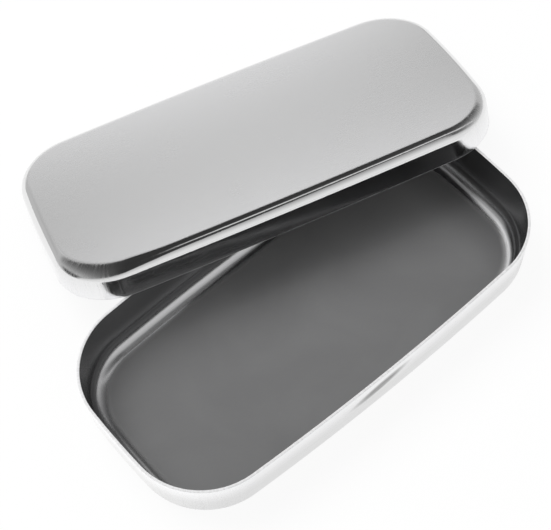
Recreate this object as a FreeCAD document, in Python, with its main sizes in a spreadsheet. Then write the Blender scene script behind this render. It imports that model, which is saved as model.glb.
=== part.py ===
import FreeCAD, Part
import Sketcher
import math
import os
from FreeCAD import Placement, Rotation, Vector

# A pressed steel box for dental burs: a shallow tray and a loose lid, each drawn from one sheet.
# Frame: the tray stands on Z = 0 with the middle of its base at the origin, X along the tray,
# +Z up. The lid has been taken off. It leans over the tray's far rim, its rear edge on the table.

doc = FreeCAD.newDocument("BurBox")

# Driving sizes in mm, angles in degrees.
SIZES = (
    ("lidLength", 90.0, "overall length over the lid's mouth"),
    ("lidWidth", 45.0, "overall width over the lid's mouth"),
    ("lidHeight", 6.2, "lid, from its cut edge to its top"),
    ("lidCorner", 12.2, "corner radius of the lid's outline"),
    ("lidEdge", 2.2, "outer radius between the lid's top and its wall"),
    ("lidSideBow", 0.7, "how far the middle of a long lid side stands out"),
    ("lidEndBow", 1.2, "how far the middle of a short lid side stands out"),
    ("trayHeight", 12.5, "tray, from the table to its rim"),
    ("trayFoot", 4.0, "outer radius between the tray's base and its wall"),
    ("steel", 0.5, "thickness of the sheet"),
    ("wallSlope", 3.0, "lean of the drawn walls, so that they leave the die"),
    ("seatDepth", 1.7, "how far the lid slides over the rim before its wall grips"),
    ("cornerEase", 3.2, "how much rounder the tray's corners are than the lid's inside"),
    ("sideEase", 1.1, "how much more the tray's long sides bow than the lid's"),
    ("endEase", 0.2, "how much more the tray's short sides bow than the lid's"),
    ("deburr", 0.12, "bevel left on the cut edges"),
    ("leanAside", 13.6, "middle of the leaning lid, along X from the tray's middle"),
    ("leanBehind", 9.8, "middle of the leaning lid, behind the tray's far rim"),
    ("leanTurn", -16.0, "turn of the leaning lid about the vertical"),
    ("restGap", 0.03, "air left where the leaning lid touches"),
)

sizes = doc.addObject("Spreadsheet::Sheet", "Sizes")
for row, (alias, value, note) in enumerate(SIZES, start=1):
    sizes.set(f"A{row}", note)
    sizes.set(f"B{row}", str(value))
    sizes.setAlias(f"B{row}", alias)
doc.recompute()


def worth(expression):
    return float(sizes.evalExpression(expression))


# The wall leans in as it rises from the lid's mouth and grips the rim at the seat's depth, so the
# play between lid and tray at the mouth follows from the slope.
MOUTH_PLAY = "(Sizes.seatDepth * tan(Sizes.wallSlope))"
STEP_IN = f"(Sizes.steel + {MOUTH_PLAY})"
LID_OUTLINE = {
    "length": "Sizes.lidLength",
    "width": "Sizes.lidWidth",
    "corner": "Sizes.lidCorner",
    "sideBow": "Sizes.lidSideBow",
    "endBow": "Sizes.lidEndBow",
}
TRAY_OUTLINE = {
    "length": f"(Sizes.lidLength - 2 * {STEP_IN})",
    "width": f"(Sizes.lidWidth - 2 * {STEP_IN})",
    "corner": f"(Sizes.lidCorner - {STEP_IN} + Sizes.cornerEase)",
    "sideBow": "(Sizes.lidSideBow + Sizes.sideEase)",
    "endBow": "(Sizes.lidEndBow + Sizes.endEase)",
}


def bowRadius(span, bow):
    # A side whose middle stands out by the bow, measured over the whole span.
    return f"({span} * {span} / (8 * {bow}) + {bow} / 2)"


def cornerCentre(sideCentre, side, endCentre, end, corner):
    # Middle of the corner arc that touches the long side's and the short side's arc from inside.
    between = endCentre - sideCentre
    apart = between.Length
    along = ((side - corner) ** 2 - (end - corner) ** 2 + apart ** 2) / (2 * apart)
    off = math.sqrt((side - corner) ** 2 - along ** 2)
    ahead = between / apart
    return sideCentre + ahead * along + Vector(ahead.y, -ahead.x, 0) * off


def arc(centre, radius, start, end):
    circle = Part.Circle(centre, Vector(0, 0, 1), radius)
    return Part.ArcOfCircle(circle, start, end)


def drawOutline(body, name, outline, height):
    # Eight tangent arcs, counter-clockwise from the +X end: bowed sides with a round corner between.
    sketch = body.newObject("Sketcher::SketchObject", name)
    plane = next(item for item in body.Origin.OriginFeatures if item.Role == "XY_Plane")
    sketch.AttachmentSupport = (plane, [""])
    sketch.MapMode = "FlatFace"
    sketch.setExpression("AttachmentOffset.Base.z", height)

    sideRule = bowRadius(outline["length"], outline["sideBow"])
    endRule = bowRadius(outline["width"], outline["endBow"])
    side = worth(sideRule)
    end = worth(endRule)
    corner = worth(outline["corner"])
    sideBack = f"({sideRule} - {outline['width']} / 2)"
    endBack = f"({endRule} - {outline['length']} / 2)"
    sideCentre = Vector(0, -worth(sideBack), 0)
    endCentre = Vector(-worth(endBack), 0, 0)
    centre = cornerCentre(sideCentre, side, endCentre, end, corner)
    toEnd = centre - endCentre
    toSide = centre - sideCentre
    low = math.atan2(toEnd.y, toEnd.x)
    high = math.atan2(toSide.y, toSide.x)
    turn = math.pi
    sketch.addGeometry([
        arc(endCentre, end, -low, low),
        arc(centre, corner, low, high),
        arc(sideCentre, side, high, turn - high),
        arc(Vector(-centre.x, centre.y, 0), corner, turn - high, turn - low),
        arc(-endCentre, end, turn - low, turn + low),
        arc(-centre, corner, turn + low, turn + high),
        arc(-sideCentre, side, turn + high, 2 * turn - high),
        arc(Vector(centre.x, -centre.y, 0), corner, 2 * turn - high, 2 * turn - low),
    ])

    first, last, middle, origin = 1, 2, 3, 1
    xAxis, yAxis = -1, -2
    count = sketch.GeometryCount
    for index in range(count):
        after = (index + 1) % count
        sketch.addConstraint(Sketcher.Constraint("Tangent", index, last, after, first))
    for index, axis in ((0, xAxis), (2, yAxis), (4, xAxis), (6, yAxis)):
        sketch.addConstraint(Sketcher.Constraint("PointOnObject", index, middle, axis))
    for one, other in ((0, 4), (2, 6), (1, 3), (1, 5), (1, 7)):
        sketch.addConstraint(Sketcher.Constraint("Equal", one, other))
    driven = (
        ("endRadius", Sketcher.Constraint("Radius", 0, end), endRule),
        ("cornerRadius", Sketcher.Constraint("Radius", 1, corner), outline["corner"]),
        ("sideRadius", Sketcher.Constraint("Radius", 2, side), sideRule),
        ("rightEnd", Sketcher.Constraint("DistanceX", 0, middle, xAxis, origin, worth(endBack)), endBack),
        ("leftEnd", Sketcher.Constraint("DistanceX", xAxis, origin, 4, middle, worth(endBack)), endBack),
        ("farSide", Sketcher.Constraint("DistanceY", 2, middle, xAxis, origin, worth(sideBack)), sideBack),
        ("nearSide", Sketcher.Constraint("DistanceY", xAxis, origin, 6, middle, worth(sideBack)), sideBack),
    )
    for label, constraint, rule in driven:
        place = sketch.addConstraint(constraint)
        sketch.renameConstraint(place, label)
        sketch.setExpression(f"Constraints.{label}", rule)
    return sketch


def edgesAt(shape, height):
    # Names of the edges that lie at one height.
    near = 1e-4
    names = []
    for number, edge in enumerate(shape.Edges, start=1):
        box = edge.BoundBox
        if abs(box.ZMin - height) < near and abs(box.ZMax - height) < near:
            names.append(f"Edge{number}")
    return names


def faceAt(shape, height):
    # Name of the flat face that lies at one height.
    near = 1e-4
    for number, face in enumerate(shape.Faces, start=1):
        box = face.BoundBox
        if abs(box.ZMin - height) < near and abs(box.ZMax - height) < near:
            return f"Face{number}"
    raise ValueError(f"no face at {height}")


def drawnShell(label, outline, mouth, depth, upward, edgeRadius):
    # One sheet drawn into a shallow pan: leaning walls from the mouth to the closed side, a round
    # edge there, an even thickness, and a deburred cut edge.
    body = doc.addObject("PartDesign::Body", label)
    body.Label = label
    sketch = drawOutline(body, label + "Outline", outline, mouth)
    draw = body.newObject("PartDesign::Pad", label + "Draw")
    draw.Profile = sketch
    draw.setExpression("Length", depth)
    draw.setExpression("TaperAngle", "-Sizes.wallSlope")
    draw.Reversed = not upward
    doc.recompute()
    mouthHeight = worth(mouth)
    closedHeight = mouthHeight + (worth(depth) if upward else -worth(depth))

    edge = body.newObject("PartDesign::Fillet", label + "Edge")
    edge.Base = (draw, edgesAt(draw.Shape, closedHeight))
    edge.setExpression("Radius", edgeRadius)
    doc.recompute()

    hollow = body.newObject("PartDesign::Thickness", label + "Hollow")
    hollow.Base = (edge, [faceAt(edge.Shape, mouthHeight)])
    hollow.setExpression("Value", "Sizes.steel")
    hollow.Join = "Intersection"
    hollow.Reversed = True
    doc.recompute()

    cut = body.newObject("PartDesign::Chamfer", label + "CutEdge")
    cut.Base = (hollow, edgesAt(hollow.Shape, mouthHeight))
    cut.setExpression("Size", "Sizes.deburr")
    doc.recompute()
    return body, sketch


def placed(shape, placement):
    moved = shape.copy()
    moved.Placement = placement.multiply(shape.Placement)
    return moved


def leaningPlacement(lidMouth, trayRim):
    # The lid lies on three points: its cut edge crosses the tray's rim at two of them, and its
    # lowest point is on the table. Each round lays the mouth's plane through the three points
    # that the last one found, and the tilt settles after a few.
    rounds = range(12)
    steel = worth("Sizes.steel")
    gap = worth("Sizes.restGap")
    rimHeight = worth("Sizes.trayHeight")
    turn = math.radians(worth("Sizes.leanTurn"))
    along = Vector(math.cos(turn), math.sin(turn), 0)
    behind = worth(f"{TRAY_OUTLINE['width']} / 2 + Sizes.leanBehind")
    middle = Vector(worth("Sizes.leanAside"), behind, rimHeight)

    lidLine = lidMouth.makeOffset2D(-steel / 2)
    rimLine = trayRim.makeOffset2D(-steel / 2)
    rimLine.translate(Vector(0, 0, -rimHeight))
    curtain = rimLine.extrude(Vector(0, 0, 4 * rimHeight))
    reach = worth("Sizes.lidLength + Sizes.lidWidth")
    table = Part.makePlane(4 * reach, 4 * reach, Vector(-2 * reach, -2 * reach, -reach))

    normal = Vector(0, rimHeight, worth("Sizes.lidWidth")).normalize()
    for _ in rounds:
        placement = Placement(middle, Rotation(along, normal.cross(along), normal, "ZXY"))
        crossings = [pair[0] for pair in placed(lidLine, placement).distToShape(curtain)[1]]
        lowest = placed(lidMouth, placement).distToShape(table)[1][0][0]
        left = min(crossings, key=lambda point: point.x)
        right = max(crossings, key=lambda point: point.x)
        steepness = math.hypot(normal.x, normal.y) / normal.z
        left.z = right.z = rimHeight + steel * steepness + gap
        lowest.z = gap
        normal = (right - left).cross(lowest - left).normalize()
        middle.z = left.z - (normal.x * (middle.x - left.x) + normal.y * (middle.y - left.y)) / normal.z
    return Placement(middle, Rotation(along, normal.cross(along), normal, "ZXY"))


def mouthWire(sketch):
    return Part.Wire(Part.__sortEdges__(sketch.Shape.Edges))


tray, traySketch = drawnShell(
    "tray", TRAY_OUTLINE, "Sizes.trayHeight", "Sizes.trayHeight", False, "Sizes.trayFoot")
lid, lidSketch = drawnShell("lid", LID_OUTLINE, "0", "Sizes.lidHeight", True, "Sizes.lidEdge")
lid.Placement = leaningPlacement(mouthWire(lidSketch), mouthWire(traySketch))
doc.recompute()

for item in doc.Objects:
    if "Invalid" in item.State or "Error" in item.State:
        raise RuntimeError(f"{item.Label} did not build: {item.State}")
for body in (tray, lid):
    if body.Shape.isNull() or not body.Shape.isValid():
        raise RuntimeError(f"{body.Label} has no valid shape")

os.makedirs("parts", exist_ok=True)
for body in (tray, lid):
    body.Shape.exportStep(os.path.join("parts", body.Label + ".step"))
    print(body.Label, "solids", len(body.Shape.Solids), "volume", round(body.Shape.Volume, 1))
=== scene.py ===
import itertools
import math
import bmesh
import bpy
from mathutils import Matrix, Vector, kdtree


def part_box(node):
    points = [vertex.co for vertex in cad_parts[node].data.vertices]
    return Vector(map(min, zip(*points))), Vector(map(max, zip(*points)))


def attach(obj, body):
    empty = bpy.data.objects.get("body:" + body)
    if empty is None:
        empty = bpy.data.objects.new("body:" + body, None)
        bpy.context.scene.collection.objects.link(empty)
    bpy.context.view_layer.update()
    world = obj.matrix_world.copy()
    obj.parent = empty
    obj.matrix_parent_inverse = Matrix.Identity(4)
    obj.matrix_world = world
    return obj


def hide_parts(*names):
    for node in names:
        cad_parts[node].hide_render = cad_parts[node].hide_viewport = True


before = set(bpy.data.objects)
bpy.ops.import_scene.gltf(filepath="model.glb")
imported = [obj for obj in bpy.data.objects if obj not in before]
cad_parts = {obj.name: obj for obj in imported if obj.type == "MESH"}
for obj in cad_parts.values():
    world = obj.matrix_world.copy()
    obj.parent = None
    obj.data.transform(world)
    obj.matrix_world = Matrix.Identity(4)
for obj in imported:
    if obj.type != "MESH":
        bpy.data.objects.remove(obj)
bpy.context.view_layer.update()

mm = 0.001
print("stage: frame loaded")


# The lid, as it is pressed. A bow says how far the middle of a side stands out past its ends.
lidForm = {
    "length": 90.0 * mm,  # outside, at the mouth
    "width": 45.0 * mm,
    "height": 6.2 * mm,
    "corner": 12.2 * mm,
    "edge": 2.2 * mm,  # round between the closed side and the wall
    "sideBow": 0.7 * mm,
    "endBow": 1.2 * mm,
    "seat": 1.7 * mm,  # how far it slides over the tray's rim
    "slope": math.radians(3.0),  # lean of the wall
    "steel": 0.5 * mm,
    "deburr": 0.1 * mm,
    "easedAt": Vector((-39.0, -20.0, 0)) * mm,  # the corner where the press drew the edge wider
    "easeReach": 16.0 * mm,
    "easeMore": 0.60,  # share of the round's own reach that is added there
    "turn": math.radians(-16.0),  # about the vertical, as it leans on the tray
}

# The tray fits inside the lid. Its corners are rounder and its sides bow more.
stepIn = lidForm["steel"] + lidForm["seat"] * math.tan(lidForm["slope"])
trayForm = {
    "length": lidForm["length"] - 2 * stepIn,
    "width": lidForm["width"] - 2 * stepIn,
    "height": 12.5 * mm,
    "corner": lidForm["corner"] - stepIn + 3.2 * mm,
    "edge": 4.0 * mm,
    "sideBow": lidForm["sideBow"] + 1.1 * mm,
    "endBow": lidForm["endBow"] + 0.2 * mm,
    "slope": lidForm["slope"],
    "steel": lidForm["steel"],
    "deburr": lidForm["deburr"],
    "easeMore": 0.0,
}

# Painted highlight: a bright ring painted on the round edge inside, in place of the light it mirrors.
# It climbs across the form, and is weak at one end. Heights are above the flat, as shares of the round
# edge's own height.
paintedHighlightRing = {
    "height": 0.205,
    "climb": Vector((-0.96, -7.0, 0)),  # along and across, per metre, where the ring is strong
    "lowest": 0.085,
    "halfWidth": 0.075,
    "full": 0.2,  # share of the half width where the ring is full
    "weakest": 0.22,
    "weakUntil": 8.0 * mm,  # along the form
    "strongFrom": 20.0 * mm,
    "flatEnds": 0.04,  # where the flat's own finish has ended
}

# How finely both forms are cut up.
meshDetail = {
    "endSteps": 12,  # along half of a short side
    "cornerSteps": 30,
    "sideSteps": 24,  # along half of a long side
    "wallCuts": 4,
    "edgeSegments": 14,
    "rimSegments": 3,
    "flatInsets": (0.15 * mm, 2.5 * mm),  # keep the flat's shading apart from the round edge's
    "cornerBlend": 0.35,  # share of the corner's radius, for the mop's lines
    "shadingWeight": 100,
    "near": 0.01 * mm,
}

# Material places on a shell.
outerWall, closedSide, insideFace, cutEdge = range(4)


def clamp(value, low=0, high=1):
    return min(max(value, low), high)


def bowRadius(span, bow):
    return span * span / (8 * bow) + bow / 2


def cornerCentre(form):
    # Centre of the corner arc that runs smoothly into the long side's and the short side's bow.
    end = bowRadius(form["width"], form["endBow"])
    side = bowRadius(form["length"], form["sideBow"])
    endCentre = Vector((form["length"] / 2 - end, 0, 0))
    sideCentre = Vector((0, form["width"] / 2 - side, 0))
    toCorner = side - form["corner"]
    fromCorner = end - form["corner"]
    between = endCentre - sideCentre
    along = (toCorner ** 2 - fromCorner ** 2 + between.length_squared) / (2 * between.length)
    off = math.sqrt(toCorner ** 2 - along ** 2)
    ahead = between.normalized()
    return sideCentre + ahead * along + Vector((ahead.y, -ahead.x, 0)) * off, endCentre, sideCentre


def drawOutline(bm, form):
    # One vertex is spun round the centres of the arcs, from the middle of one end back to it.
    centre, endCentre, sideCentre = cornerCentre(form)
    low = math.atan2(centre.y - endCentre.y, centre.x - endCentre.x)
    high = math.atan2(centre.y - sideCentre.y, centre.x - sideCentre.x)
    ends, corners, sides = meshDetail["endSteps"], meshDetail["cornerSteps"], meshDetail["sideSteps"]
    arcs = (
        (endCentre, low, ends),
        (centre, high - low, corners),
        (sideCentre, math.pi - 2 * high, 2 * sides),
        (centre * Vector((-1, 1, 1)), high - low, corners),
        (-endCentre, 2 * low, 2 * ends),
        (-centre, high - low, corners),
        (-sideCentre, math.pi - 2 * high, 2 * sides),
        (centre * Vector((1, -1, 1)), high - low, corners),
        (endCentre, low, ends),
    )
    tip = bm.verts.new((form["length"] / 2, 0, 0))
    for middle, angle, steps in arcs:
        swept = bmesh.ops.spin(
            bm, geom=[tip], cent=middle, axis=(0, 0, 1), angle=angle, steps=steps, use_merge=False)
        tip = next(item for item in swept["geom_last"] if isinstance(item, bmesh.types.BMVert))
    bmesh.ops.remove_doubles(bm, verts=bm.verts[:], dist=meshDetail["near"])


def rememberOutline(bm):
    outline = kdtree.KDTree(len(bm.verts))
    for index, vert in enumerate(bm.verts):
        outline.insert(vert.co, index)
    outline.balance()
    return outline


def edgeReach(form):
    # How far the round edge reaches over the wall and over the closed side.
    return form["edge"] * math.tan((math.pi / 2 - form["slope"]) / 2)


def raisePan(bm, form, blank):
    # The blank is drawn up, its closed edge rounded and its walls cut across.
    bmesh.ops.inset_region(
        bm, faces=blank, thickness=form["height"] * math.tan(form["slope"]), depth=form["height"],
        use_boundary=True, use_even_offset=True)
    bmesh.ops.bevel(
        bm, geom=list(blank[0].edges), affect="EDGES", offset_type="OFFSET", offset=edgeReach(form),
        segments=meshDetail["edgeSegments"], profile=0.5, material=-1, clamp_overlap=False)
    near = meshDetail["near"]
    uprights = [e for e in bm.edges if not e.is_boundary and min(v.co.z for v in e.verts) < near]
    bmesh.ops.subdivide_edges(bm, edges=uprights, cuts=meshDetail["wallCuts"])
    flat = max(bm.faces, key=lambda face: face.calc_area())
    for width in meshDetail["flatInsets"]:
        bmesh.ops.inset_region(bm, faces=[flat], thickness=width, use_even_offset=True)


def easeCorner(bm, form, outline):
    # Around one place the round edge reaches further over the closed side. Its foot stays.
    sharp = form["height"] * math.tan(form["slope"])
    for vert in bm.verts:
        root, _, _ = outline.find((vert.co.x, vert.co.y, 0))
        inward = vert.co.xy - root.xy
        depth = inward.length
        share = max(1 - (root - form["easedAt"]).length / form["easeReach"], 0)
        more = form["easeMore"] * share * share * (3 - 2 * share)
        further = more * clamp(depth - sharp, 0, edgeReach(form))
        if further > 0:
            vert.co.xy += inward * further / depth


def thickenSteel(bm, form):
    # The sheet gets its thickness, and its cut edge is laid flat and deburred.
    near = meshDetail["near"]
    for face in bm.faces:
        level = face.calc_center_median().z > form["height"] - near
        face.material_index = closedSide if level else outerWall
    bmesh.ops.recalc_face_normals(bm, faces=bm.faces[:])
    outward = set(bm.faces)
    bmesh.ops.solidify(bm, geom=bm.faces[:], thickness=form["steel"])
    rimFaces = set()
    for face in bm.faces:
        if face in outward:
            continue
        face.material_index = insideFace
        if all(vert.co.z < near for vert in face.verts):
            face.material_index = cutEdge
            rimFaces.add(face)
    for face in rimFaces:
        for vert in face.verts:
            vert.co.z = 0
    rimLoops = [e for e in bm.edges if len({face in rimFaces for face in e.link_faces}) == 2]
    bmesh.ops.bevel(
        bm, geom=rimLoops, affect="EDGES", offset_type="OFFSET", offset=form["deburr"],
        segments=meshDetail["rimSegments"], profile=0.5, material=cutEdge, clamp_overlap=False)


def ringAt(spot, above):
    # How much of the painted highlight ring there is at a spot, "above" the flat inside.
    strong = (spot.x - paintedHighlightRing["weakUntil"]) / (paintedHighlightRing["strongFrom"] - paintedHighlightRing["weakUntil"])
    strong = clamp(strong, paintedHighlightRing["weakest"])
    middle = max(paintedHighlightRing["height"] + strong * paintedHighlightRing["climb"].dot(spot), paintedHighlightRing["lowest"])
    ring = 1 + paintedHighlightRing["full"] - abs(above - middle) / paintedHighlightRing["halfWidth"]
    return strong * clamp(min(ring, above / paintedHighlightRing["flatEnds"]))


def markShell(bm, form, outline):
    # "local" keeps each point's place on the unplaced piece. "sweep" holds the outline point that
    # it was drawn up from, and how far up the sheet it lies. "corner" is 1 in the round corners,
    # "floor" is 1 on the flat inside, and "foot" is 1 in the painted highlight ring.
    local = bm.verts.layers.float_vector.new("local")
    sweep = bm.verts.layers.float_vector.new("sweep")
    corner = bm.verts.layers.float.new("corner")
    floor = bm.verts.layers.float.new("floor")
    foot = bm.verts.layers.float.new("foot")
    flatInside = form["height"] - form["steel"]
    centre, _, _ = cornerCentre(form)
    for vert in bm.verts:
        vert[local] = vert.co
        root, _, _ = outline.find((vert.co.x, vert.co.y, 0))
        vert[sweep] = (root.x, root.y, vert.co.z + (root.xy - vert.co.xy).length)
        past = min(abs(root.x) - centre.x, abs(root.y) - centre.y)
        vert[corner] = clamp(past / (meshDetail["cornerBlend"] * form["corner"]))
        above = (flatInside - vert.co.z) / (form["edge"] - form["steel"])
        vert[floor] = clamp(1 - above / paintedHighlightRing["flatEnds"])
        vert[foot] = ringAt(vert.co, above)


def drawShell(form):
    # Both pieces are drawn closed side up, from a blank on the plane of the mouth.
    bm = bmesh.new()
    drawOutline(bm, form)
    blank = bmesh.ops.contextual_create(bm, geom=bm.edges[:])["faces"]
    if blank[0].normal.z < 0:
        bmesh.ops.reverse_faces(bm, faces=blank)
    outline = rememberOutline(bm)
    raisePan(bm, form, blank)
    if form["easeMore"]:
        easeCorner(bm, form, outline)
    thickenSteel(bm, form)
    markShell(bm, form, outline)
    for face in bm.faces:
        face.smooth = True
    return bm


def placeShell(name, bm, place, materials):
    bmesh.ops.transform(bm, matrix=place, verts=bm.verts[:])
    mesh = bpy.data.meshes.new(name)
    bm.to_mesh(mesh)
    bm.free()
    for material in materials:
        mesh.materials.append(material)
    piece = bpy.data.objects.new(name, mesh)
    bpy.context.scene.collection.objects.link(piece)
    weighted = piece.modifiers.new("evenShading", "WEIGHTED_NORMAL")
    weighted.mode = "FACE_AREA"
    weighted.weight = meshDetail["shadingWeight"]
    return piece


# Helpers for every node tree. "place" is where the node stands in the editor.
def addNode(tree, kind, place, **values):
    node = tree.nodes.new(kind)
    node.location = place
    for name, value in values.items():
        setattr(node, name, value)
    return node


def feed(tree, socket, value):
    # A node's output is linked to the socket, and a plain value is set on it.
    if isinstance(value, bpy.types.NodeSocket):
        tree.links.new(value, socket)
    else:
        socket.default_value = value


def calculate(tree, place, operation, *values, limited=False):
    node = addNode(tree, "ShaderNodeMath", place, operation=operation, use_clamp=limited)
    for socket, value in zip(node.inputs, values):
        feed(tree, socket, value)
    return node.outputs[0]


def calculateVector(tree, place, operation, *values):
    node = addNode(tree, "ShaderNodeVectorMath", place, operation=operation)
    for socket, value in zip(node.inputs, values):
        feed(tree, socket, value)
    return node.outputs["Value" if operation in ("DOT_PRODUCT", "LENGTH") else "Vector"]


def mapValue(tree, place, value, start, stop, low=0.0, high=1.0, easing="SMOOTHSTEP"):
    node = addNode(tree, "ShaderNodeMapRange", place, interpolation_type=easing)
    sockets = ("Value", "From Min", "From Max", "To Min", "To Max")
    for name, given in zip(sockets, (value, start, stop, low, high)):
        feed(tree, node.inputs[name], given)
    return node.outputs["Result"]


def spread(tree, place, mask, low, high):
    # A mask of 0 to 1 turned evenly into a value between low and high.
    return mapValue(tree, place, mask, 0.0, 1.0, low, high, "LINEAR")


def mixValue(tree, place, factor, one, other):
    node = addNode(tree, "ShaderNodeMix", place, data_type="FLOAT")
    for index, value in ((0, factor), (2, one), (3, other)):
        feed(tree, node.inputs[index], value)
    return node.outputs[0]


def greyBetween(tree, place, mask, low, high):
    # Steel's grey is a little blue at its light end.
    node = addNode(tree, "ShaderNodeMix", place, data_type="RGBA")
    for index, value in ((0, mask), (6, (low, low, low, 1)), (7, (high, high, high * 1.01, 1))):
        feed(tree, node.inputs[index], value)
    return node.outputs[2]


def bumpFrom(tree, place, height, strength, depth, under=None):
    node = addNode(tree, "ShaderNodeBump", place)
    node.inputs["Strength"].default_value = strength
    node.inputs["Distance"].default_value = depth
    tree.links.new(height, node.inputs["Height"])
    if under is not None:
        tree.links.new(under, node.inputs["Normal"])
    return node.outputs["Normal"]


def readVector(tree, place, name):
    return addNode(tree, "ShaderNodeAttribute", place, attribute_name=name).outputs["Vector"]


def readMask(tree, place, name):
    return addNode(tree, "ShaderNodeAttribute", place, attribute_name=name).outputs["Fac"]


def alongAxis(tree, place, vector, axis):
    split = addNode(tree, "ShaderNodeSeparateXYZ", place)
    tree.links.new(vector, split.inputs[0])
    return split.outputs[axis]


# Effects that several finishes share.
grainTexture = {"detail": 5.0, "roughness": 0.65, "distortion": 0.0, "darkest": 0.28, "brightest": 0.72}
cloudTexture = {"detail": 3.0, "roughness": 0.5, "distortion": 0.6, "darkest": 0.3, "brightest": 0.7}


def newGroup(name, inputs, outputs):
    # inputs and outputs are (name, socket kind, value) and (name, socket kind).
    group = bpy.data.node_groups.new(name, "ShaderNodeTree")
    for label, kind, value in inputs:
        socket = group.interface.new_socket(name=label, in_out="INPUT", socket_type=kind)
        if value is not None:
            socket.default_value = value
    for label, kind in outputs:
        group.interface.new_socket(name=label, in_out="OUTPUT", socket_type=kind)
    start = addNode(group, "NodeGroupInput", (-900, 0))
    end = addNode(group, "NodeGroupOutput", (600, 0))
    return group, start, end


def addNoise(group, vector, scale, look):
    noise = addNode(group, "ShaderNodeTexNoise", (-480, 0), noise_dimensions="3D")
    feed(group, noise.inputs["Vector"], vector)
    feed(group, noise.inputs["Scale"], scale)
    for name in ("detail", "roughness", "distortion"):
        noise.inputs[name.capitalize()].default_value = look[name]
    return mapValue(group, (-240, 0), noise.outputs[0], look["darkest"], look["brightest"])


def makeStreaks():
    # Fine lines left by the belt or the mop, drawn out along one direction.
    group, start, end = newGroup(
        "streaks",
        [("Place", "NodeSocketVector", None), ("Stretch", "NodeSocketVector", (1, 1, 1)),
         ("Sharpness", "NodeSocketFloat", 0.6)],
        [("Lines", "NodeSocketFloat")])
    drawn = calculateVector(group, (-700, 0), "MULTIPLY", start.outputs["Place"], start.outputs["Stretch"])
    lines = addNoise(group, drawn, 1.0, grainTexture)
    sharp = calculate(group, (0, 0), "POWER", lines, start.outputs["Sharpness"])
    group.links.new(sharp, end.inputs["Lines"])
    return group


def makeClouds():
    # Broad, soft variation: handling marks and uneven polishing.
    group, start, end = newGroup(
        "clouds",
        [("Place", "NodeSocketVector", None), ("Patch", "NodeSocketFloat", 80.0)],
        [("Cloud", "NodeSocketFloat")])
    cloud = addNoise(group, start.outputs["Place"], start.outputs["Patch"], cloudTexture)
    group.links.new(cloud, end.inputs["Cloud"])
    return group


def makeHairlines():
    # Stray scratches: the walls between long, thin cells.
    group, start, end = newGroup(
        "hairlines",
        [("Place", "NodeSocketVector", None), ("Stretch", "NodeSocketVector", (1, 1, 1)),
         ("Width", "NodeSocketFloat", 0.02)],
        [("Scratch", "NodeSocketFloat")])
    drawn = calculateVector(group, (-700, 0), "MULTIPLY", start.outputs["Place"], start.outputs["Stretch"])
    cells = addNode(group, "ShaderNodeTexVoronoi", (-480, 0), feature="DISTANCE_TO_EDGE")
    cells.inputs["Scale"].default_value = 1.0
    group.links.new(drawn, cells.inputs["Vector"])
    scratch = mapValue(
        group, (-240, 0), cells.outputs["Distance"], 0.0, start.outputs["Width"], 1.0, 0.0, "LINEAR")
    group.links.new(scratch, end.inputs["Scratch"])
    return group


streaks = makeStreaks()
clouds = makeClouds()
hairlines = makeHairlines()


def useGroup(tree, place, group, source, **values):
    node = addNode(tree, "ShaderNodeGroup", place)
    node.node_tree = group
    tree.links.new(source, node.inputs["Place"])
    for name, value in values.items():
        node.inputs[name].default_value = value
    return node.outputs[0]


def newSteel(name):
    material = bpy.data.materials.new(name)
    material.use_nodes = True
    tree = material.node_tree
    shader = tree.nodes["Principled BSDF"]
    shader.inputs["Metallic"].default_value = 1.0
    return material, tree, shader


def brushedTexture(tree, shader, place, look):
    # Grain, clouds and stray scratches of a dull face. Grain and scratches also shape its normal.
    grain = useGroup(tree, (-1200, 200), streaks, place, Stretch=look["grain"], Sharpness=1.0)
    cloud = useGroup(tree, (-1200, 0), clouds, place, Patch=look["patch"])
    scratch = useGroup(
        tree, (-1200, -200), hairlines, place, Stretch=look["scratch"], Width=look["scratchWidth"])
    lines = bumpFrom(tree, (-500, -300), grain, look["grainBump"], look["grainDepth"])
    normal = bumpFrom(tree, (-250, -300), scratch, look["scratchBump"], look["scratchDepth"], lines)
    tree.links.new(normal, shader.inputs["Normal"])
    return grain, cloud


satinLook = {
    "grain": (400, 9000, 9000),
    "grainBump": 0.05,
    "grainDepth": 0.02 * mm,
    "grainRough": 0.05,
    "scratch": (60, 900, 900),
    "scratchWidth": 0.012,
    "scratchBump": 0.01,
    "scratchDepth": 0.01 * mm,
    "patch": 55.0,
    "patchGrey": (0.38, 0.46),  # where it lies between dark and light, from patch to patch
    "toneSpan": (1 / (45 * mm), 1 / (20 * mm), 0),  # from the middle to the ends and long edges
    "toneShare": (-0.33, 0.42, 0),  # how far the grey moves there
    "dark": 0.66,
    "light": 0.95,
    "rough": (0.20, 0.24),
}


# Satin face, belt-finished along its length.
def satinFace(name, look):
    material, tree, shader = newSteel(name)
    place = readVector(tree, (-1500, 0), "local")
    grain, cloud = brushedTexture(tree, shader, place, look)
    off = calculateVector(tree, (-1000, 600), "MULTIPLY", place, look["toneSpan"])
    squared = calculateVector(tree, (-850, 600), "MULTIPLY", off, off)
    tone = calculateVector(tree, (-700, 600), "DOT_PRODUCT", squared, look["toneShare"])
    patchy = spread(tree, (-700, 400), cloud, *look["patchGrey"])
    mixed = calculate(tree, (-550, 500), "ADD", tone, patchy, limited=True)
    grey = greyBetween(tree, (-300, 300), mixed, look["dark"], look["light"])
    tree.links.new(grey, shader.inputs["Base Color"])
    base = spread(tree, (-700, 0), cloud, *look["rough"])
    rough = calculate(tree, (-450, 0), "MULTIPLY_ADD", grain, look["grainRough"], base)
    tree.links.new(rough, shader.inputs["Roughness"])
    return material


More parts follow.
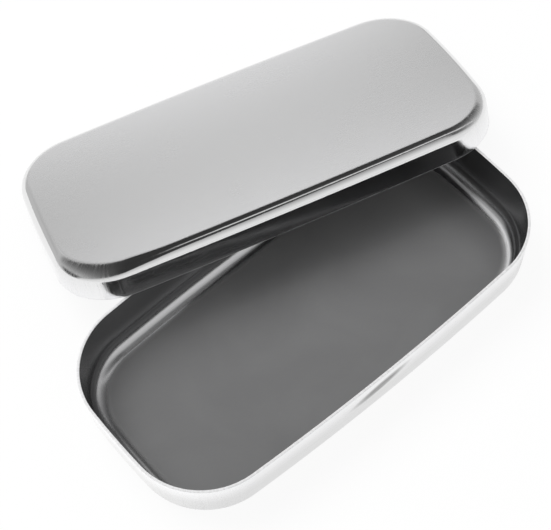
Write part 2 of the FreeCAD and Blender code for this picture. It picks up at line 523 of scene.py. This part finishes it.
insideLook = {
    "grain": (700, 5000, 5000),
    "grainBump": 0.06,
    "grainDepth": 0.02 * mm,
    "scratch": (80, 700, 700),
    "scratchWidth": 0.012,
    "scratchBump": 0.10,
    "scratchDepth": 0.01 * mm,
    "patch": 45.0,
    "wallGrey": (0.55, 0.59),
    "floorGrey": (0.31, 0.35),
    "paintedHighlightGrey": 0.91,
    "endFade": (31.0 * mm, 41.0 * mm),  # along the form, where the floor gets darker
    "endShare": 0.70,
    "mirrored": 0.46,  # painted shade: the inside's grey is darker where other steel mirrors it
    "wallRough": 0.21,
    "ringRough": 0.21,
    "floorRough": (0.48, 0.56),
    "ringMetal": 0.2,
    "floorMetal": 0.5,
}


# The inside: a dull floor, a painted highlight ring on the foot, and grey walls.
def drawnInside(name, look):
    material, tree, shader = newSteel(name)
    place = readVector(tree, (-1500, 0), "local")
    floor = readMask(tree, (-1500, 500), "floor")
    foot = readMask(tree, (-1500, 700), "foot")
    grain, cloud = brushedTexture(tree, shader, place, look)

    walls = spread(tree, (-900, 500), cloud, *look["wallGrey"])
    floors = spread(tree, (-900, 700), cloud, *look["floorGrey"])
    length = alongAxis(tree, (-1200, 1100), place, "X")
    fade = mapValue(tree, (-950, 1100), length, *look["endFade"], 1.0, look["endShare"])
    faded = calculate(tree, (-750, 900), "MULTIPLY", floors, fade)
    grey = mixValue(tree, (-700, 600), floor, walls, faded)
    # Painted highlight: the ring on the foot is painted near white.
    grey = mixValue(tree, (-500, 600), foot, grey, look["paintedHighlightGrey"])
    # Painted shade: in glossy rays the inside's grey is darker.
    path = addNode(tree, "ShaderNodeLightPath", (-700, 1100))
    share = mixValue(tree, (-500, 900), path.outputs["Is Glossy Ray"], 1.0, look["mirrored"])
    shade = calculate(tree, (-400, 750), "MULTIPLY", grey, share)
    colour = greyBetween(tree, (-300, 500), shade, 0.0, 1.0)
    tree.links.new(colour, shader.inputs["Base Color"])

    smooth = spread(tree, (-900, 0), foot, look["wallRough"], look["ringRough"])
    dull = spread(tree, (-900, 200), grain, *look["floorRough"])
    rough = mixValue(tree, (-500, 200), floor, smooth, dull)
    tree.links.new(rough, shader.inputs["Roughness"])
    # The painted highlight ring is mostly not metal, so it stays bright from every side.
    bare = mixValue(tree, (-700, -50), foot, 1.0, look["ringMetal"])
    metal = mixValue(tree, (-500, -50), floor, bare, look["floorMetal"])
    tree.links.new(metal, shader.inputs["Metallic"])
    return material


trayWallLook = {
    "acrossLines": (2600, 2600, 120),
    "alongLines": (160, 160, 3500),
    "lineSharpness": 1.2,
    "lineShare": 0.15,  # how much the lines along the wall vary its grey
    "lineBump": 0.06,
    "lineDepth": 0.01 * mm,
    "scratch": (300, 300, 900),
    "scratchWidth": 0.02,
    "scratchBump": 0.10,
    "scratchDepth": 0.01 * mm,
    "wave": 110.0,
    "waveBump": 0.10,
    "waveDepth": 0.1 * mm,
    "patch": 130.0,
    "rough": (0.05, 0.11),
    "cornerRough": (0.12, 0.32),
    "dark": 0.76,
    "light": 0.99,
    "paintedPaleFrom": 6.5 * mm,  # below the rim, where the painted reflection starts to make the wall paler
    "paintedPaleMost": 0.85,
}
skirtLook = {**trayWallLook, "light": 0.88}  # the lid's copy, painted darker in place of its dimmer reflection of the table


# Mirror-polished walls. The mop leaves lines across the round corners, and hides less there.
def polishedWall(name, look):
    material, tree, shader = newSteel(name)
    sweep = readVector(tree, (-1500, 200), "sweep")
    local = readVector(tree, (-1500, 0), "local")
    corner = readMask(tree, (-1500, -200), "corner")
    sharp = look["lineSharpness"]
    across = useGroup(tree, (-1200, 300), streaks, sweep, Stretch=look["acrossLines"], Sharpness=sharp)
    along = useGroup(tree, (-1200, 100), streaks, sweep, Stretch=look["alongLines"], Sharpness=sharp)
    cloud = useGroup(tree, (-1200, -100), clouds, local, Patch=look["patch"])
    wave = useGroup(tree, (-1200, -300), clouds, local, Patch=look["wave"])
    scratch = useGroup(
        tree, (-1200, -500), hairlines, local, Stretch=look["scratch"], Width=look["scratchWidth"])

    plain = spread(tree, (-900, -100), cloud, *look["rough"])
    brushed = spread(tree, (-900, 100), across, *look["cornerRough"])
    rough = mixValue(tree, (-650, 0), corner, plain, brushed)
    tree.links.new(rough, shader.inputs["Roughness"])

    # Painted reflection: the grey is paler toward the mouth and darker toward the closed side, in place of
    # the shadowed table that the tray's wall mirrors near its foot.
    height = alongAxis(tree, (-1200, 700), local, "Z")
    paintedPaleRamp = mapValue(tree, (-950, 700), height, look["paintedPaleFrom"], 0.0, 0.0, look["paintedPaleMost"])
    shade = calculate(
        tree, (-750, 500), "MULTIPLY_ADD", along, look["lineShare"], paintedPaleRamp, limited=True)
    grey = greyBetween(tree, (-500, 300), shade, look["dark"], look["light"])
    tree.links.new(grey, shader.inputs["Base Color"])

    swell = bumpFrom(tree, (-900, -350), wave, look["waveBump"], look["waveDepth"])
    mopped = mixValue(tree, (-900, -550), corner, along, across)
    lines = bumpFrom(tree, (-600, -350), mopped, look["lineBump"], look["lineDepth"], swell)
    normal = bumpFrom(tree, (-350, -350), scratch, look["scratchBump"], look["scratchDepth"], lines)
    tree.links.new(normal, shader.inputs["Normal"])
    return material


# A dark, streaked patch on the tray's wall.
darkPatchLook = {
    "middle": (-1.9 * mm, 21.8 * mm, 3.3 * mm),  # on the unplaced tray's long wall
    "halfSize": (8.3 * mm, 3.0 * mm, 1.9 * mm),
    "full": 0.30,  # share of the half size where the mark is full
    "turn": math.radians(-7.0),
    "lines": (300, 300, 4000),
    "lineSharpness": 0.5,
    "lineShare": (0.60, 1.0),
    "grey": 0.17,
}


# A dark patch, streaked along its length.
def addDarkPatch(material, look):
    tree = material.node_tree
    shader = tree.nodes["Principled BSDF"]
    local = readVector(tree, (-1500, -800), "local")
    fromMiddle = calculateVector(tree, (-1300, -800), "SUBTRACT", local, look["middle"])
    turned = addNode(tree, "ShaderNodeVectorRotate", (-1150, -800), rotation_type="Y_AXIS")
    turned.inputs["Angle"].default_value = look["turn"]
    tree.links.new(fromMiddle, turned.inputs["Vector"])
    scaled = calculateVector(tree, (-1000, -800), "DIVIDE", turned.outputs[0], look["halfSize"])
    distance = calculateVector(tree, (-850, -800), "LENGTH", scaled)
    patch = mapValue(tree, (-700, -800), distance, look["full"], 1.0, 1.0, 0.0)
    lines = useGroup(
        tree, (-850, -1000), streaks, local, Stretch=look["lines"], Sharpness=look["lineSharpness"])
    streaky = spread(tree, (-700, -1000), lines, *look["lineShare"])
    mark = calculate(tree, (-500, -800), "MULTIPLY", patch, streaky)
    darkened = addNode(tree, "ShaderNodeMix", (-250, -800), data_type="RGBA")
    darkened.inputs[7].default_value = (look["grey"], look["grey"], look["grey"], 1)
    tree.links.new(mark, darkened.inputs[0])
    tree.links.new(shader.inputs["Base Color"].links[0].from_socket, darkened.inputs[6])
    tree.links.new(darkened.outputs[2], shader.inputs["Base Color"])
    return material


edgeLook = {
    "nicks": (3000, 3000, 300),
    "nickBump": 0.3,
    "nickDepth": 0.01 * mm,
    "dark": 0.80,
    "light": 0.94,
    "rough": (0.45, 0.60),
    "metal": 0.15,
}


# The cut edge: painted highlight, nearly white and mostly not metal so that it shows as a bright line, with
# fine lines across it where it was trimmed.
def trimmedEdge(name, look):
    material, tree, shader = newSteel(name)
    sweep = readVector(tree, (-1200, 100), "sweep")
    nicks = useGroup(tree, (-900, 100), streaks, sweep, Stretch=look["nicks"], Sharpness=1.0)
    grey = greyBetween(tree, (-500, 200), nicks, look["dark"], look["light"])
    normal = bumpFrom(tree, (-500, -250), nicks, look["nickBump"], look["nickDepth"])
    # Painted highlight: mostly not metal, so the edge stays bright from every side.
    shader.inputs["Metallic"].default_value = look["metal"]
    tree.links.new(grey, shader.inputs["Base Color"])
    tree.links.new(spread(tree, (-500, 0), nicks, *look["rough"]), shader.inputs["Roughness"])
    tree.links.new(normal, shader.inputs["Normal"])
    return material


# In the order of the material places.
lidMaterials = [
    polishedWall("polishedSkirt", skirtLook),
    satinFace("satinTop", satinLook),
    drawnInside("lidInside", insideLook),
    trimmedEdge("lidCutEdge", edgeLook),
]
trayMaterials = [
    addDarkPatch(polishedWall("polishedTray", trayWallLook), darkPatchLook),
    satinFace("trayUnderside", satinLook),
    drawnInside("trayInside", insideLook),
    trimmedEdge("trayCutEdge", edgeLook),
]
print("stage: finishes made")


# The tray stands on the table, mouth up.
def makeTray():
    stand = Matrix.Translation((0, 0, trayForm["height"])) @ Matrix.Rotation(math.pi, 4, "X")
    tray = placeShell("trayShell", drawShell(trayForm), stand, trayMaterials)
    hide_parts("tray")
    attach(tray, "tray")


def boxMiddle(low, high):
    return (Vector(low) + Vector(high)) / 2


# The lid is off, and leans on the tray's far rim. The frame's lid says how its top is tilted and
# where it lies.
def makeLid():
    up = max(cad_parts["lid"].data.polygons, key=lambda face: face.area).normal.copy()
    if up.z < 0:
        up.negate()
    level = Vector((math.cos(lidForm["turn"]), math.sin(lidForm["turn"]), 0))
    across = up.cross(level).normalized()
    along = across.cross(up)
    tilt = Matrix((along, across, up)).transposed().to_4x4()
    bm = drawShell(lidForm)
    bmesh.ops.transform(bm, matrix=tilt, verts=bm.verts[:])
    low = [min(vert.co[axis] for vert in bm.verts) for axis in range(3)]
    high = [max(vert.co[axis] for vert in bm.verts) for axis in range(3)]
    shift = boxMiddle(*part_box("lid")) - boxMiddle(low, high)
    lid = placeShell("lidShell", bm, Matrix.Translation(shift), lidMaterials)
    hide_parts("lid")
    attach(lid, "lid")


makeTray()
makeLid()
print("stage: tray and lid made")


tableLook = {
    "size": 6.0,  # metres across
    "white": 0.98,
    "rough": 0.9,
    "shadow": 0.09,  # how much of the light and shadow shows on the table
    "mirroredShadow": 0.29,  # and how much of it the steel mirrors
    "mirroredGlow": 1.05,  # brightness of the table in the steel
}


def paleTable():
    # Most of the table glows evenly white, and the rest of it takes light and shadow.
    material = bpy.data.materials.new("paleTable")
    material.use_nodes = True
    tree = material.node_tree
    shader = tree.nodes["Principled BSDF"]
    white = tableLook["white"]
    shader.inputs["Base Color"].default_value = (white, white, white, 1)
    shader.inputs["Roughness"].default_value = tableLook["rough"]
    shader.inputs["Specular IOR Level"].default_value = 0.0
    path = addNode(tree, "ShaderNodeLightPath", (-600, 300))
    seen, mirrored = path.outputs["Is Camera Ray"], path.outputs["Is Glossy Ray"]
    glow = addNode(tree, "ShaderNodeEmission", (0, -300))
    glowing = mixValue(tree, (-200, -300), mirrored, 1.0, tableLook["mirroredGlow"])
    tree.links.new(glowing, glow.inputs["Strength"])
    direct = calculate(tree, (-400, 300), "MULTIPLY", seen, 1 - tableLook["shadow"])
    share = calculate(
        tree, (-200, 300), "MULTIPLY_ADD", mirrored, 1 - tableLook["mirroredShadow"], direct)
    blend = addNode(tree, "ShaderNodeMixShader", (250, 0))
    for socket, value in zip(blend.inputs, (share, shader.outputs[0], glow.outputs[0])):
        tree.links.new(value, socket)
    tree.links.new(blend.outputs[0], tree.nodes["Material Output"].inputs["Surface"])
    return material


def makeTable():
    bm = bmesh.new()
    bmesh.ops.create_grid(bm, x_segments=1, y_segments=1, size=tableLook["size"] / 2)
    mesh = bpy.data.meshes.new("table")
    bm.to_mesh(mesh)
    bm.free()
    mesh.materials.append(paleTable())
    table = bpy.data.objects.new("table", mesh)
    bpy.context.scene.collection.objects.link(table)


# What the steel mirrors. Places are in degrees: "over" from the far horizon up over the top, and
# to the right of the middle. Brightness is 1 for white.
roomLook = {
    "farHeading": math.radians(-26.3),  # the far wall, turned from +Y
    "edge": 3.0,  # softness of every light's edge
    "soft": 0.52,  # light of the room on everything that isn't mirrored
    "walls": 0.80,
    "wallsAside": 0.60,  # their brightness to the left and right
    "wallsDim": (9.0, 24.0),  # to either side, where they get dimmer
    "wallTop": 34.0,
    "wallDip": 0.11,  # a slightly darker belt along the walls
    "wallDipHeight": 22.5,
    "wallDipWidth": 4.5,
    "window": (0.35, 0.92),  # on the near side, its brightness at the top and at the horizon
    "windowFade": (90.0, 160.0),  # between those two
    "windowTop": 119.0,  # straight ahead
    "windowLeft": (-82.0, -64.0),  # where its left end begins
    "slant": 1.8,  # degrees that its top is higher for each degree to the right
    "slantFrom": 5.0,
    "slantMost": 28.0,
    "slantUntil": (18.0, 27.0),  # to the right, where the slant goes back
    "slantLeft": 0.1,  # share of it that is left there
    "strip": 0.85,
    "stripMiddle": 87.0,
    "stripWidth": 4.5,
    "stripFrom": 4.0,
    "ceiling": 0.038,
    "ceilingEnds": (0.75, 0.50),  # how much brighter it is far to the left and to the right
    "ceilingReach": 70.0,  # to either side, where that is reached
    "ceilingTurn": 10.0,  # to either side, where left blends into right
    "ceilingLeft": (-70.0, -54.0),  # where its left end is dark again
}


def makeRoom():
    # Pale walls, a dark ceiling with a strip light, and a broad window on the near side. The camera
    # sees plain white past the object.
    world = bpy.data.worlds.new("room")
    bpy.context.scene.world = world
    world.use_nodes = True
    tree = world.node_tree
    columns = itertools.count(-9000, 180)  # each node stands to the right of the last

    def compute(operation, *values):
        return calculate(tree, (next(columns), 0), operation, *values)

    def ramp(value, start, stop, low=0.0, high=1.0):
        return mapValue(tree, (next(columns), 0), value, start, stop, low, high)

    direction = addNode(tree, "ShaderNodeTexCoord", (next(columns), 0))
    turned = addNode(tree, "ShaderNodeVectorRotate", (next(columns), 0), rotation_type="Z_AXIS")
    tree.links.new(direction.outputs["Generated"], turned.inputs["Vector"])
    turned.inputs["Angle"].default_value = -roomLook["farHeading"]
    split = addNode(tree, "ShaderNodeSeparateXYZ", (next(columns), 0))
    tree.links.new(turned.outputs[0], split.inputs[0])
    degrees = 180 / math.pi
    right = compute("MULTIPLY", compute("ARCSINE", split.outputs["X"]), degrees)
    over = compute("MULTIPLY", compute("ARCTAN2", split.outputs["Z"], split.outputs["Y"]), degrees)
    aside = compute("ABSOLUTE", right)
    edge = roomLook["edge"]

    # The walls.
    bright = roomLook["walls"]
    fromDip = compute("ABSOLUTE", compute("SUBTRACT", over, roomLook["wallDipHeight"]))
    belt = ramp(fromDip, 0.0, roomLook["wallDipWidth"], bright - roomLook["wallDip"], bright)
    dimmer = ramp(aside, *roomLook["wallsDim"], 1.0, roomLook["wallsAside"] / bright)
    below = ramp(over, roomLook["wallTop"] - edge, roomLook["wallTop"] + edge, 1.0, 0.0)
    walls = compute("MULTIPLY", compute("MULTIPLY", belt, dimmer), below)

    # The window.
    slant = compute("MULTIPLY", compute("SUBTRACT", right, roomLook["slantFrom"]), roomLook["slant"])
    slant = compute("MINIMUM", compute("MAXIMUM", slant, 0.0), roomLook["slantMost"])
    slant = compute("MULTIPLY", slant, ramp(right, *roomLook["slantUntil"], 1.0, roomLook["slantLeft"]))
    opening = ramp(compute("ADD", over, slant), roomLook["windowTop"], roomLook["windowTop"] + 2 * edge)
    window = compute("MULTIPLY", opening, ramp(over, *roomLook["windowFade"], *roomLook["window"]))
    window = compute("MULTIPLY", window, ramp(right, *roomLook["windowLeft"]))

    # The strip light.
    off = compute("ABSOLUTE", compute("SUBTRACT", over, roomLook["stripMiddle"]))
    half = roomLook["stripWidth"]
    lit = ramp(off, half - edge, half + edge, roomLook["strip"], 0.0)
    strip = compute("MULTIPLY", lit, ramp(right, roomLook["stripFrom"] - edge, roomLook["stripFrom"] + edge))

    # The ceiling.
    outward = compute("POWER", compute("DIVIDE", aside, roomLook["ceilingReach"]), 2.0)
    ends = ramp(right, -roomLook["ceilingTurn"], roomLook["ceilingTurn"], *roomLook["ceilingEnds"])
    ends = compute("MULTIPLY", ends, ramp(right, *roomLook["ceilingLeft"]))
    ceiling = compute("MINIMUM", compute("MULTIPLY_ADD", outward, ends, roomLook["ceiling"]), 1.0)

    lights = compute("MAXIMUM", compute("MAXIMUM", walls, window), strip)
    room = compute("MAXIMUM", lights, ceiling)
    path = addNode(tree, "ShaderNodeLightPath", (next(columns), 0))
    mirrored = mixValue(tree, (next(columns), 0), path.outputs["Is Glossy Ray"], roomLook["soft"], room)
    shown = mixValue(tree, (next(columns), 0), path.outputs["Is Camera Ray"], mirrored, 1.0)
    background = tree.nodes["Background"]
    background.inputs["Color"].default_value = (1, 1, 1, 1)
    tree.links.new(shown, background.inputs["Strength"])


keyLamp = {
    "place": Vector((-0.12, 0.42, 0.80)),  # metres
    "aim": Vector((0, 0.01, 0)),
    "size": 0.6,
    "power": 5.4,
}


def makeKeyLamp():
    light = bpy.data.lights.new("key", "AREA")
    light.shape = "SQUARE"
    light.size = keyLamp["size"]
    light.energy = keyLamp["power"]
    lamp = bpy.data.objects.new("key", light)
    lamp.visible_glossy = False  # the steel mirrors the room instead
    turn = (keyLamp["aim"] - keyLamp["place"]).to_track_quat("-Z", "Y").to_matrix().to_4x4()
    lamp.matrix_world = Matrix.Translation(keyLamp["place"]) @ turn
    bpy.context.scene.collection.objects.link(lamp)


cameraPlace = {
    "azimuth": math.radians(-35.03),
    "elevation": math.radians(59.83),
    "roll": math.radians(-6.05),
    "distance": 279.66 * mm,
    "target": Vector((0.563, 10.171, 8.0)) * mm,
    "lens": 97.66,
    "sensor": 36.0,
    "nearest": 10.0 * mm,  # that it can still see
}


def makeCamera():
    azimuth, elevation = cameraPlace["azimuth"], cameraPlace["elevation"]
    back = Vector((
        math.sin(azimuth) * math.cos(elevation),
        -math.cos(azimuth) * math.cos(elevation),
        math.sin(elevation)))
    right = Vector((math.cos(azimuth), math.sin(azimuth), 0))
    level = Matrix((right, back.cross(right), back)).transposed().to_4x4()
    roll = Matrix.Rotation(cameraPlace["roll"], 4, "Z")
    data = bpy.data.cameras.new("camera")
    data.sensor_width = cameraPlace["sensor"]
    data.lens = cameraPlace["lens"]
    data.clip_start = cameraPlace["nearest"]
    camera = bpy.data.objects.new("camera", data)
    spot = cameraPlace["target"] + back * cameraPlace["distance"]
    camera.matrix_world = Matrix.Translation(spot) @ level @ roll
    bpy.context.scene.collection.objects.link(camera)
    bpy.context.scene.camera = camera


makeTable()
makeRoom()
makeKeyLamp()
makeCamera()
bpy.context.scene.view_settings.view_transform = "Standard"
print("stage: table, room and camera ready")
